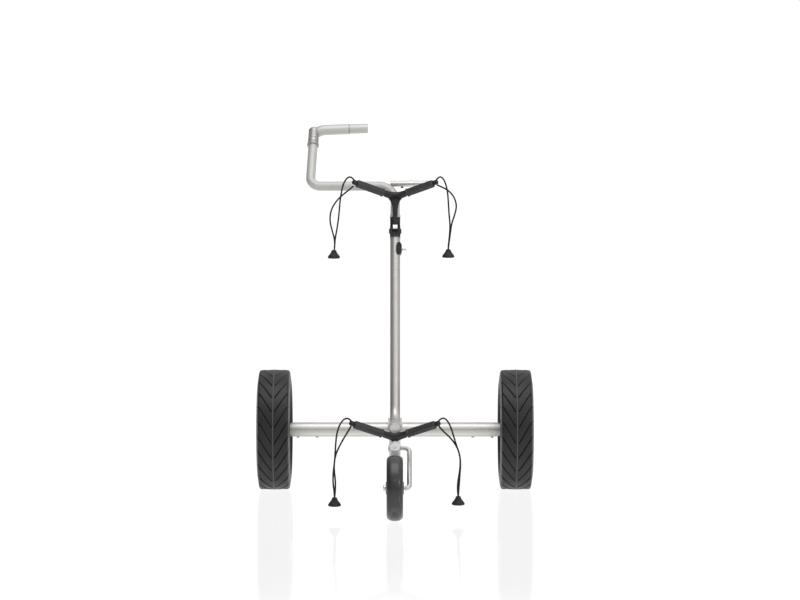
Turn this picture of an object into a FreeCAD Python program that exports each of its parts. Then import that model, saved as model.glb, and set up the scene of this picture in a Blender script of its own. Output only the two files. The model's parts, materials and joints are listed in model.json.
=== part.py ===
"""Three-wheel golf trolley: a folding frame with two bag brackets, elastic bag cords and a one-hand grip.

Millimetres. +Z up, +Y towards the person pushing, +X to the right as seen from the front wheel's side.
The model is laid out with the rear axle's middle at x = 0, y = 0, then moved along Y so that the origin
is the middle of the footprint's bounding box, on the ground.
"""
import FreeCAD, Part
import math
import os

V = FreeCAD.Vector
SIDES = (("left", -1), ("right", 1))

# Overall layout
wheel_r = 147.5            # rear wheel, over the tread
tyre_w = 74.5
track_half = 294.5         # middle of a rear tyre from the centre line
wheelbase = 450.0          # rear axle to front wheel centre
front_wheel_r = 77.0
front_tyre_w = 39.0
main_lean = 22.0           # main tube, degrees back from upright
lower_rise = 7.0           # lower run of the main tube, degrees up towards the front
hinge_along = 498.5        # bend corner to the middle of the hinge, along the main tube

# Fits
run_gap = 0.05             # radial gap of a turning or sliding fit
clear_gap = 0.4            # gap between neighbours that move past each other

# Tubes
main_r = 12.5
main_wall = 2.0
main_bend_r = 60.0
head_reach = 330.0         # how far forward of the axle the lower run ends
axle_r = 17.5
axle_wall = 2.5
slot_back = 44.0           # middle of the slot in from the axle tube's end
slot_len = 23.0
slot_w = 3.0
upper_r = 11.5
upper_wall = 1.8
upper_bend_r = 40.0
elbow_r = 24.0

# Rear wheel
rim_r = 99.0
tyre_crown = 2.6           # how much lower the tread's shoulders are than its middle
tyre_shoulder = 9.0
tyre_wall = 9.0
rim_w = 58.0
rim_wall = 3.5
spoke_count = 6
spoke_w = 20.0
spoke_t = 9.0
hub_r = 24.0
hub_inset = 32.5           # hub's inner end inboard of the tyre's middle, and its outer end outboard
hub_outset = 27.5
bearing_r = 14.0
bearing_w = 8.0
stub_r = 6.0
stub_short = 6.0           # stub axle's outer end inside the hub's
stub_shoulder_r = 9.0
stub_shoulder_w = 5.0
bush_len = 77.0
bush_flange_r = 15.8
bush_flange_t = 4.0
screw_back = (63.0, 16.0)  # screws in from the axle tube's end
screw_r = 2.5
screw_head_r = 3.6
screw_head_t = 3.2
cap_r = 27.0
cap_t = 7.0
button_r = 11.0
button_travel = 4.0

# Front wheel and its arm
arm_r = 5.5
arm_x = 34.0               # the arm's upright run from the centre line
arm_bend_r = 12.0
pivot_y = -338.0           # fold axis of the front arm
pivot_z = 153.5
front_rim_r = 48.0
front_hub_r = 15.0
front_bearing_r = 11.0
front_bearing_w = 7.0
front_axle_r = 4.0
front_nut_r = 8.0
front_nut_t = 5.0
front_hole_count = 5
front_hole_r = 7.0
front_hole_pitch = 27.5    # middle of each lightening hole from the axle

# Front head and its clamp knob
head_w = 26.0
head_front = -352.0
head_rear = -322.0
head_bottom = 121.0
socket_r = 17.0
socket_len = 30.0
knob_r = 11.5
knob_t = 12.0
knob_z = 162.5
knob_screw_r = 2.4

# Hinge
ear_gap = 14.0             # between the two ears
ear_t = 6.0
pin_back = 14.0            # hinge pin behind the tubes' centre line
pin_r = 4.0
pin_head_r = 6.5
pin_head_t = 2.5
ear_r = 10.0
yoke_top_gap = 13.0        # pin down to the top of the yoke's base
yoke_base = 8.0
tube_seat = 3.0            # how far the main tube enters the base
spigot_len = 50.0
spigot_bore_r = 7.0
collar_r = 12.6
collar_t = 7.0
knuckle_rise = 30.0        # pin up to the top of the knuckle

# Latch
latch_along = 447.0
latch_h = 30.0
latch_depth = 22.0
latch_out = 16.5
nose_r = 3.0
latch_neck_r = 1.6
latch_head_r = 4.0
latch_tip = 30.0
spring_coils = 6
spring_wire_r = 0.45
spring_pitch = 1.7

# Bag brackets
arm_side = 105.0           # bracket's tip from its centre, across
arm_forward = 42.0
arm_up = 41.0
bracket_root_w = 15.0
bracket_t = 11.0
core_w = 5.0
core_t = 8.0
core_short = 7.0           # the arms' cores stop this far inside the tips
pad_w = 16.0
pad_t = 15.5
pad_start = 33.0
pad_round = 4.0
tip_r = 6.2
tip_len = 12.5
stem_w = 12.0
stem_t = 8.0
upper_joint = (-23.8, 77.8)     # bracket's middle, ahead of and along the main tube from the hinge
lower_joint = (-359.0, 182.0)   # y and z of the lower bracket's middle

# Handle
cross_rise = 104.916       # upper tube's cross run above the middle of the hinge
cross_x = -212.0           # where it turns up
riser_lean = 40.0
riser_shift = 7.4          # sideways over its length
riser_len = 168.0
sleeve_r = 13.2
sleeve_len = 44.0
sleeve_seat = 34.0         # riser's top end up to the sleeve's lower edge
ring_flare_r = 15.0
ring_h = 9.0
grip_r = 12.8
grip_core_r = 9.0
grip_leave = 26.0          # sleeve's lower edge up to where the grip leaves it
grip_back = 8.0            # the grip's centre line runs this far behind the sleeve's
grip_bend = (-185.0, 10.1) # where the grip levels out: x, and height above the point where it leaves
grip_bend_r = 45.0
grip_end = (-69.0, 14.7)
grip_split_x = -117.0
grip_end_r = 12.0
grip_ring_t = 2.0

# Accessory tube
accessory_r = 7.4
accessory_bore_r = 5.6
accessory_rise = 6.0       # accessory tube above the cross run
accessory_end = 88.0
accessory_collar_x = 38.0

# Cords and their cone-shaped pulls
cord_r = 2.0
cone_r = 15.5
cone_top_r = 5.6
cone_h = 20.0
cone_wall = 2.2


def unit(v):
    return v * (1.0 / v.Length)


def rod(start, end, radius):
    """Solid cylinder from start to end."""
    along = end - start
    return Part.makeCylinder(radius, along.Length, start, along)


def ring_section(start, end, outer, inner):
    return rod(start, end, outer).cut(rod(start, end, inner))


def rounded_wire(points, radii):
    """Straight runs joined by tangent arcs: one wire."""
    edges = []
    last = points[0]
    for before, corner, after, radius in zip(points, points[1:], points[2:], radii):
        to_before = unit(before - corner)
        to_after = unit(after - corner)
        half = to_before.getAngle(to_after) / 2.0
        reach = radius / math.tan(half)
        first = corner + to_before * reach
        second = corner + to_after * reach
        middle = corner + unit(to_before + to_after) * (radius / math.sin(half) - radius)
        if (first - last).Length > 1e-6:
            edges.append(Part.LineSegment(last, first).toShape())
        edges.append(Part.Arc(first, middle, second).toShape())
        last = second
    edges.append(Part.LineSegment(last, points[-1]).toShape())
    return Part.Wire(edges)


def sweep(points, radii, section_r):
    """Round bar along straight runs and tangent arcs."""
    wire = rounded_wire(points, radii)
    circle = Part.Wire([Part.makeCircle(section_r, points[0], points[1] - points[0])])
    return wire.makePipeShell([circle], True, True)


def tube(points, radii, outer, inner):
    return sweep(points, radii, outer).cut(sweep(points, radii, inner))


def turned(profile, base, axis_dir):
    """Solid of revolution. profile holds (distance along axis, radius) points of a closed outline."""
    axis = unit(axis_dir)
    side = V(0, 0, 1) if abs(axis.z) < 0.9 else V(1, 0, 0)
    out = unit(side - axis * side.dot(axis))
    corners = [base + axis * a + out * r for a, r in profile]
    face = Part.Face(Part.makePolygon(corners + [corners[0]]))
    return face.revolve(base, axis, 360)


def framed_box(middle, along, across, lengths):
    """Box round a middle point: lengths along, across, and along their cross product."""
    a = unit(along)
    b = unit(across - a * across.dot(a))
    c = a.cross(b)
    la, lb, lc = (length / 2.0 for length in lengths)
    corners = [middle + a * sa + b * sb - c * lc
               for sa, sb in ((-la, -lb), (la, -lb), (la, lb), (-la, lb))]
    return Part.Face(Part.makePolygon(corners + [corners[0]])).extrude(c * lengths[2])


def edges_along(shape, direction):
    found = []
    for edge in shape.Edges:
        if isinstance(edge.Curve, Part.Line):
            if abs(abs(unit(edge.Curve.Direction).dot(unit(direction))) - 1.0) < 1e-4:
                found.append(edge)
    return found


# Directions and key points of the frame, before the final move along Y
X = V(1, 0, 0)
lean = math.radians(main_lean)
rise = math.radians(lower_rise)
up_main = V(0, math.sin(lean), math.cos(lean))
back_main = V(0, math.cos(lean), -math.sin(lean))
forward_low = V(0, -math.cos(rise), math.sin(rise))
axle = V(0, 0, wheel_r)
inside = unit(up_main + forward_low)
half_corner = up_main.getAngle(forward_low) / 2.0
corner_off = main_bend_r + main_r + axle_r - main_bend_r / math.sin(half_corner)
bend_corner = axle + inside * corner_off


def on_main(along, back=0.0, x=0.0):
    """Point by its distance along the main tube from the bend corner, and behind its centre line."""
    return bend_corner + up_main * along + back_main * back + X * x


hinge_pin_point = on_main(hinge_along, pin_back)
main_top = hinge_along - yoke_top_gap - yoke_base + tube_seat
head_end = bend_corner + forward_low * ((head_reach + bend_corner.y) / math.cos(rise))
arm_pivot = V(0, pivot_y, pivot_z)
hub_in = track_half - hub_inset
hub_out = track_half + hub_outset
stub_out = hub_out - stub_short
axle_half = hub_in - stub_shoulder_w - bush_flange_t
bush_in = axle_half - bush_len
screw_x = [axle_half - back for back in screw_back]
slot_x = axle_half - slot_back
front_axle = V(0, -wheelbase, front_wheel_r)
cross_z = on_main(hinge_along).z + cross_rise
parts = {}
cord_nodes = []


def main_frame():
    path = [on_main(main_top), bend_corner, head_end]
    tube_solid = tube(path, [main_bend_r], main_r, main_r - main_wall)
    latch_hole = rod(on_main(latch_along), on_main(latch_along, 0, main_r + 2), nose_r + run_gap)
    parts["main_tube"] = tube_solid.cut(latch_hole)

    cross = ring_section(axle - X * axle_half, axle + X * axle_half, axle_r, axle_r - axle_wall)
    cross.rotate(axle, X, 50.0)    # keeps the surface's seam clear of the holes
    for side, sign in SIDES:
        for screw_at in screw_x:
            base = V(sign * screw_at, 0, wheel_r - axle_r - 1)
            cross = cross.cut(rod(base, base + V(0, 0, axle_wall + 2), screw_r))
        middle = V(sign * slot_x, 0, wheel_r + axle_r)
        cross = cross.cut(Part.makeBox(slot_len, slot_w, 2 * axle_wall,
                                       middle - V(slot_len / 2, slot_w / 2, axle_wall)))
    parts["axle_tube"] = cross

    # Saddle: a block behind the bend that both tubes are brazed into
    saddle = framed_box(axle + inside * 7.0, inside, X, (34.0, 34.0, 38.0))
    saddle = saddle.makeFillet(5.0, edges_along(saddle, X))
    saddle = saddle.cut(sweep(path, [main_bend_r], main_r))
    saddle = saddle.cut(rod(axle - X * 60, axle + X * 60, axle_r))
    parts["axle_saddle"] = sorted(saddle.Solids, key=lambda s: s.Volume)[-1]


def axle_ends():
    heads = []
    bushes = []
    for side, sign in SIDES:
        out = X * sign
        inner = axle_r - axle_wall
        flange_start = axle_half
        flange_end = axle_half + bush_flange_t
        bush = rod(axle + out * bush_in, axle + out * flange_start, inner)
        flange = turned([(flange_start, 0), (flange_start, bush_flange_r), (flange_end - 1, bush_flange_r),
                         (flange_end, bush_flange_r - 1), (flange_end, 0)], axle, out)
        bush = bush.fuse(flange).cut(rod(axle + out * bush_in, axle + out * flange_end, stub_r))
        for screw_at in screw_x:
            base = V(sign * screw_at, 0, wheel_r - axle_r)
            depth = axle_wall + 6.0
            bush = bush.cut(rod(base, base + V(0, 0, depth), screw_r))
            head = turned([(0, 0), (0, screw_head_r), (screw_head_t - 1, screw_head_r),
                           (screw_head_t, screw_head_r - 1), (screw_head_t, 0)], base, V(0, 0, -1))
            shank = rod(base, base + V(0, 0, depth), screw_r)
            curved = rod(axle - X * axle_half, axle + X * axle_half, axle_r)
            heads.append(head.cut(curved).fuse(shank))
        bushes.append(bush)
        gap = clear_gap
        stub = turned([(bush_in + 8, 0), (bush_in + 8, stub_r), (flange_end, stub_r),
                       (flange_end, stub_shoulder_r), (hub_in - gap, stub_shoulder_r), (hub_in - gap, stub_r),
                       (stub_out - 1.5, stub_r), (stub_out, stub_r - 1.5), (stub_out, 0)], axle, out)
        for screw_at in screw_x:
            base = V(sign * screw_at, 0, wheel_r - axle_r)
            stub = stub.cut(rod(base, base + V(0, 0, axle_wall + 6.0), screw_r))
        parts[side + "_stub_axle"] = stub
    parts["axle_screws"] = Part.makeCompound(heads)
    parts["axle_bushes"] = Part.makeCompound(bushes)


def rear_wheels():
    for side, sign in SIDES:
        out = X * sign
        middle = axle + out * track_half
        half = tyre_w / 2.0
        bead = rim_w / 2.0
        edge_r = wheel_r - tyre_crown
        inner_half = half - tyre_wall
        right = [(0, wheel_r), (8, wheel_r - 0.5), (half - 6, edge_r), (half - 1.5, edge_r - 2.5),
                 (half, edge_r - tyre_shoulder), (half, rim_r + 24), (half - 3, rim_r + 10), (bead, rim_r),
                 (bead, rim_r - rim_wall), (bead - tyre_wall, rim_r - rim_wall),
                 (bead - tyre_wall, rim_r + 4), (inner_half, rim_r + 22),
                 (inner_half, edge_r - tyre_wall - 2), (0, wheel_r - tyre_wall)]
        left = [(-along, radius) for along, radius in reversed(right[1:-1])]
        tyre = turned(right + left, middle, out)
        parts[side + "_tyre"] = tyre

        seat = rim_r - rim_wall
        barrel = turned([(-bead, seat - rim_wall), (bead, seat - rim_wall), (bead, seat), (-bead, seat)],
                        middle, out)
        hub_start = hub_in - track_half
        hub_end = hub_out - track_half
        hub = turned([(hub_start, 0), (hub_start, hub_r - 2), (hub_start + 2, hub_r), (hub_end - 2, hub_r),
                      (hub_end, hub_r - 2), (hub_end, 0)], middle, out)
        rim = barrel.fuse(hub)
        for number in range(spoke_count):
            angle = 2.0 * math.pi * number / spoke_count
            away = V(0, math.cos(angle), math.sin(angle))
            length = seat - rim_wall / 2.0 - hub_r + 4.0
            spoke = framed_box(middle + away * (hub_r - 4.0 + length / 2.0), away, out,
                               (length, spoke_t, spoke_w))
            rim = rim.fuse(spoke.makeFillet(2.5, edges_along(spoke, away)))
        bore_r = stub_r + 2.0
        rim = rim.cut(rod(middle + out * hub_start, middle + out * hub_end, bore_r))
        bearings = []
        for start in (hub_start, hub_end - cap_t - bearing_w + 2.0):
            seat_base = middle + out * start
            seat_end = seat_base + out * bearing_w
            rim = rim.cut(rod(seat_base, seat_end, bearing_r))
            bearings.append(ring_section(seat_base, seat_end, bearing_r, stub_r + run_gap))
        recess = hub_end - cap_t + 2.0
        rim = rim.cut(rod(middle + out * recess, middle + out * (hub_end + 1), bearing_r))
        parts[side + "_rim"] = rim.removeSplitter()
        parts[side + "_bearings"] = Part.makeCompound(bearings)

        cap_base = middle + out * hub_end
        cap = turned([(0, 0), (0, cap_r), (cap_t - 3, cap_r), (cap_t - 0.5, cap_r - 4), (cap_t, cap_r - 9),
                      (cap_t, 0)], cap_base, out)
        pocket = button_travel + 2.5
        cap = cap.cut(rod(cap_base + out * (cap_t - pocket), cap_base + out * (cap_t + 1),
                          button_r + run_gap))
        parts[side + "_hub_cap"] = cap
        crown = cap_base + out * (cap_t - pocket + button_travel + 0.3)
        button = turned([(0, 0), (0, button_r), (3.5, button_r), (4.5, button_r - 1.5), (4.8, 0)], crown, out)
        parts[side + "_release_button"] = button


def front_assembly():
    # Head: a keyhole-shaped casting on the end of the lower run
    top = V(0, head_end.y, head_end.z)
    depth = head_front - head_rear
    block = Part.makeBox(head_w, -depth, top.z - head_bottom, V(-head_w / 2, head_front, head_bottom))
    block = block.makeFillet(5.0, edges_along(block, V(0, 0, 1)))
    boss_front = V(0, head_front, top.z)
    boss = rod(boss_front, boss_front - V(0, depth, 0), head_w / 2)
    socket_base = bend_corner + forward_low * ((head_reach + bend_corner.y) / math.cos(rise) - socket_len)
    socket = rod(socket_base, socket_base + forward_low * (socket_len + 6.0), socket_r)
    keep = Part.makeBox(60, 60, 120, V(-30, head_rear - 1.0, top.z - 60))
    head = block.fuse(boss).fuse(socket.common(keep))
    head = head.cut(rod(socket_base, head_end, main_r))
    head = head.cut(rod(arm_pivot - X * 40, arm_pivot + X * 40, arm_r + run_gap))
    screw_line = V(0, 0, knob_z)
    knob_face = screw_line + V(0, head_front, 0)
    head = head.cut(rod(knob_face, knob_face + V(0, 22, 0), knob_screw_r + run_gap))
    parts["front_head"] = head.removeSplitter()

    gap = clear_gap
    knob = turned([(gap, 0), (gap, knob_r - 1.5), (gap + 1.5, knob_r), (knob_t - 3, knob_r),
                   (knob_t - 0.8, knob_r - 3), (knob_t, 0)], knob_face, V(0, -1, 0))
    knob = knob.fuse(rod(knob_face + V(0, -gap - 1, 0), knob_face + V(0, 20, 0), knob_screw_r))
    parts["head_knob"] = knob

    # Arm: one bent rod, its top leg in the head, its bottom leg the wheel's axle
    near = X * (-head_w / 2 - 3.0)
    leg_end = front_tyre_w / 2 + 4.0
    path = [arm_pivot + near, arm_pivot + X * arm_x, front_axle + X * arm_x, front_axle + X * leg_end]
    arm = sweep(path, [arm_bend_r, arm_bend_r * 0.8], arm_r)
    hub_half = front_tyre_w / 2 + 1.5
    journal_end = -hub_half - gap - front_nut_t - 0.5
    journal = rod(front_axle + X * leg_end, front_axle + X * journal_end, front_axle_r)
    parts["front_arm"] = arm.fuse(journal).removeSplitter()
    nut_base = front_axle - X * (hub_half + gap)
    nut = turned([(0, front_axle_r), (0, front_nut_r), (front_nut_t - 1.5, front_nut_r),
                  (front_nut_t, front_nut_r - 2), (front_nut_t, front_axle_r)], nut_base, -X)
    parts["front_axle_nut"] = nut
    retainer = turned([(0, arm_r), (0, arm_r + 3), (2.5, arm_r + 3), (2.5, arm_r)],
                      arm_pivot - X * (head_w / 2 + gap + 2.5), X)
    parts["arm_retaining_ring"] = retainer

    half = front_tyre_w / 2.0
    bead = half - 4.0
    tyre = turned([(-bead, front_rim_r - 3), (bead, front_rim_r - 3), (bead, front_rim_r + 3),
                   (half - 0.6, front_rim_r + 8), (half, front_rim_r + 16), (half - 1.5, front_wheel_r - 5),
                   (half - 5, front_wheel_r - 1.4), (half - 9, front_wheel_r), (-half + 9, front_wheel_r),
                   (-half + 5, front_wheel_r - 1.4), (-half + 1.5, front_wheel_r - 5),
                   (-half, front_rim_r + 16), (-half + 0.6, front_rim_r + 8), (-bead, front_rim_r + 3)],
                  front_axle, X)
    parts["front_tyre"] = tyre
    seat = front_rim_r - 3.0
    rim = turned([(-bead, seat - 5), (bead, seat - 5), (bead, seat), (-bead, seat)], front_axle, X)
    web = turned([(-6, 4), (6, 4), (6, seat - 3), (-6, seat - 3)], front_axle, X)
    hub = turned([(-hub_half, 4), (-hub_half, front_hub_r - 1), (-hub_half + 1, front_hub_r),
                  (hub_half - 1, front_hub_r), (hub_half, front_hub_r - 1), (hub_half, 4)], front_axle, X)
    rim = rim.fuse(web).fuse(hub).cut(rod(front_axle - X * 40, front_axle + X * 40, front_axle_r + 1.5))
    bearings = []
    for start in (-hub_half, hub_half - front_bearing_w):
        seat_base = front_axle + X * start
        seat_end = seat_base + X * front_bearing_w
        rim = rim.cut(rod(seat_base, seat_end, front_bearing_r))
        bearings.append(ring_section(seat_base, seat_end, front_bearing_r, front_axle_r + run_gap))
    for number in range(front_hole_count):
        angle = 2.0 * math.pi * number / front_hole_count
        hole = front_axle + V(0, math.cos(angle), math.sin(angle)) * front_hole_pitch
        rim = rim.cut(rod(hole - X * 10, hole + X * 10, front_hole_r))
    parts["front_rim"] = rim.removeSplitter()
    parts["front_bearings"] = Part.makeCompound(bearings)


def hinge():
    """Yoke on the main tube, knuckle on the upper tube, and the pin that joins them behind the tubes."""
    half = ear_gap / 2.0
    outer = half + ear_t
    base_top = hinge_along - yoke_top_gap

    def side_prism(points, x_low, width):
        corners = [on_main(along, back, x_low) for back, along in points]
        return Part.Face(Part.makePolygon(corners + [corners[0]])).extrude(X * width)

    base_low = base_top - yoke_base
    base = side_prism([(-17, base_low), (15, base_low), (15, base_top), (-17, base_top)],
                      -outer, 2 * outer)
    base = base.makeFillet(4.0, edges_along(base, up_main))
    yoke = base
    for side, sign in SIDES:
        x_low = half if sign > 0 else -outer
        cheek = side_prism([(-17, base_top - 4), (14, base_top - 4), (17, base_top),
                            (pin_back + 8, hinge_along - 6), (pin_back, hinge_along + ear_r),
                            (2, hinge_along + ear_r), (-17, hinge_along - 2)], x_low, ear_t)
        round_end = rod(hinge_pin_point + X * x_low, hinge_pin_point + X * (x_low + ear_t), ear_r)
        yoke = yoke.fuse(cheek).fuse(round_end)
    lip = side_prism([(-17, base_top - 4), (-13, base_top - 4), (-13, hinge_along + 4),
                      (-17, hinge_along + 4)], -outer, 2 * outer)
    yoke = yoke.fuse(lip)
    yoke = yoke.fuse(rod(on_main(main_top - spigot_len), on_main(base_top - 2), main_r - main_wall))
    yoke = yoke.cut(rod(on_main(main_top - spigot_len - 1), on_main(main_top + 4), spigot_bore_r))
    collar = rod(on_main(base_low - 1), on_main(main_top), main_r)
    spigot = rod(on_main(base_low - 8), on_main(main_top + 1), main_r - main_wall)
    yoke = yoke.cut(collar.cut(spigot))
    yoke = yoke.cut(rod(hinge_pin_point - X * 40, hinge_pin_point + X * 40, pin_r))
    yoke = yoke.cut(rod(on_main(latch_along), on_main(latch_along, 0, main_r + 2), nose_r + run_gap))
    parts["hinge_yoke"] = yoke.removeSplitter()

    heads = rod(hinge_pin_point - X * outer, hinge_pin_point + X * outer, pin_r)
    for side, sign in SIDES:
        cap = turned([(0, 0), (0, pin_head_r), (pin_head_t - 1, pin_head_r),
                      (pin_head_t, pin_head_r - 1.5), (pin_head_t, 0)], hinge_pin_point + X * sign * outer,
                     X * sign)
        heads = heads.fuse(cap)
    parts["hinge_pin"] = heads

    tongue_half = half - clear_gap
    knuckle_top = hinge_along + knuckle_rise
    tongue = side_prism([(-upper_r, hinge_along - 8), (pin_back - 9, hinge_along - 8),
                         (pin_back + 9, hinge_along + 4), (8, hinge_along + 20),
                         (-upper_r, hinge_along + 20)], -tongue_half, 2 * tongue_half)
    tongue = tongue.fuse(rod(hinge_pin_point - X * tongue_half, hinge_pin_point + X * tongue_half, 11.5))
    socket = rod(on_main(hinge_along + ear_r + 4), on_main(knuckle_top), collar_r)
    plug = rod(on_main(knuckle_top), on_main(knuckle_top + 24), upper_r - upper_wall)
    knuckle = tongue.fuse(socket).fuse(plug)
    knuckle = knuckle.cut(rod(hinge_pin_point - X * 40, hinge_pin_point + X * 40, pin_r + run_gap))
    parts["hinge_knuckle"] = knuckle.removeSplitter()
    parts["hinge_collar"] = ring_section(on_main(knuckle_top), on_main(knuckle_top + collar_t),
                                         collar_r + 0.6, upper_r)

    screws = []
    for side, sign in SIDES:
        face = on_main(base_top - 2, -17, sign * 10.0)
        screws.append(turned([(0, 0), (0, 2.0), (0.8, 1.6), (0.8, 0)], face, back_main * -1))
    parts["yoke_screws"] = Part.makeCompound(screws)


def latch():
    """Faceted housing on the main tube's right, with a push pin that locks the yoke's spigot."""
    middle = on_main(latch_along)
    half_h = latch_h / 2.0
    outline = [(3.0, -half_h + 7), (7.0, -half_h), (12.5, -half_h), (latch_out, -half_h + 7),
               (latch_out, half_h - 7), (12.5, half_h), (7.0, half_h), (3.0, half_h - 7)]
    corners = [on_main(latch_along + along, -15.5, x) for x, along in outline]
    housing = Part.Face(Part.makePolygon(corners + [corners[0]])).extrude(back_main * latch_depth)
    housing = housing.cut(rod(on_main(latch_along - 40), on_main(latch_along + 40), main_r))
    housing = housing.cut(rod(middle, middle + X * 40, nose_r + run_gap))
    parts["latch_housing"] = housing
    head_start = latch_tip - 3.0
    pin = turned([(0.5, 0), (0.5, nose_r - 0.6), (1.1, nose_r), (latch_out, nose_r),
                  (latch_out, latch_neck_r), (head_start, latch_neck_r),
                  (head_start, latch_head_r), (latch_tip - 0.6, latch_head_r),
                  (latch_tip, latch_head_r - 0.8), (latch_tip, 0)], middle, X)
    parts["latch_plunger"] = pin
    coils = []
    for number in range(spring_coils):
        place = latch_out + 0.9 + number * spring_pitch
        coils.append(Part.makeTorus(latch_neck_r + 1.2, spring_wire_r, middle + X * place, X))
    parts["latch_spring"] = Part.makeCompound(coils)


def bracket(name, joint, stem):
    """V casting with a stem, two padded arms and a cord fitting on each tip."""
    rise_dir = unit(V(0, -arm_forward, arm_up))
    normal = unit(X.cross(rise_dir)) * -1.0
    casting = rod(joint - normal * bracket_t / 2, joint + normal * bracket_t / 2, bracket_root_w / 2)
    casting = casting.fuse(stem)
    reach = V(arm_side, -arm_forward, arm_up).Length
    anchors = []
    for side, sign in SIDES:
        along = unit(V(sign * arm_side, -arm_forward, arm_up))
        across = unit(normal.cross(along)) * sign

        def place(a, b):
            return joint + along * a + across * b

        root = [place(0, -bracket_root_w / 2), place(pad_start, -pad_w / 2 - 0.5),
                place(pad_start, pad_w / 2 + 0.5), place(12, bracket_root_w / 2 + 2),
                place(0, bracket_root_w)]
        root_solid = Part.Face(Part.makePolygon(root + [root[0]])).extrude(normal * bracket_t)
        root_solid.translate(normal * (-bracket_t / 2))
        core = framed_box(place((pad_start + reach) / 2 - core_short / 2, 0), along, across,
                          (reach - pad_start - core_short, core_w, core_t))
        casting = casting.fuse(root_solid).fuse(core)

        pad_end = reach - tip_len + 1.0
        pad_middle = place((pad_start + pad_end) / 2, 0)
        pad_len = pad_end - pad_start
        pad = framed_box(pad_middle, along, across, (pad_len, pad_w, pad_t))
        pad = pad.makeFillet(pad_round, edges_along(pad, along))
        lip = framed_box(place(pad_start + 2.0, 0), along, across, (4.0, pad_w + 3.0, pad_t + 1.5))
        lip = lip.makeFillet(pad_round, edges_along(lip, along))
        hollow = framed_box(pad_middle, along, across, (pad_len + 2, core_w, core_t))
        parts[name + "_" + side + "_pad"] = pad.fuse(lip).cut(hollow).removeSplitter()

        tip_base = joint + along * pad_end
        tip = turned([(0, 0), (0, tip_r - 1), (1.5, tip_r), (tip_len - 3.5, tip_r), (tip_len - 1, tip_r - 2),
                      (tip_len, 0)], tip_base, along)
        anchors.append(tip.cut(core))
    parts[name + "_bracket"] = casting.removeSplitter()
    parts[name + "_cord_anchors"] = Part.makeCompound(anchors)


def brackets():
    back, along = upper_joint
    joint = on_main(hinge_along + along, back)
    foot = on_main(hinge_along + 5.0, -17.0 - stem_t / 2)
    stem = framed_box((joint + foot) * 0.5, joint - foot, X, ((joint - foot).Length, stem_w, stem_t))
    tab = framed_box(on_main(hinge_along - 1.0, -17.0 - 3.0), up_main, X, (14.0, stem_w, 6.0))
    bracket("upper", joint, stem.fuse(tab))
    clip = framed_box(on_main(hinge_along + 0.5, -17.0 - 6.0 - 1.0), up_main, X, (9.5, 11.5, 2.0))
    clip = clip.makeFillet(0.8, edges_along(clip, back_main))
    parts["bracket_clip"] = clip.cut(parts["upper_bracket"])

    joint = V(0, lower_joint[0], lower_joint[1])
    face_y = head_front
    stub = Part.makeBox(stem_w, face_y - joint.y, 26.0, V(-stem_w / 2, joint.y, joint.z - 4.0))
    foot = Part.makeBox(stem_w, 4.0, 8.0, V(-stem_w / 2, face_y - 4.0, joint.z - 6.0))
    bracket("lower", joint, stub.fuse(foot))
    knob_room = rod(V(0, face_y, knob_z), V(0, face_y - knob_t - 8.0, knob_z), knob_r + clear_gap)
    parts["lower_bracket"] = parts["lower_bracket"].cut(parts["front_head"]).cut(knob_room)


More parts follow.
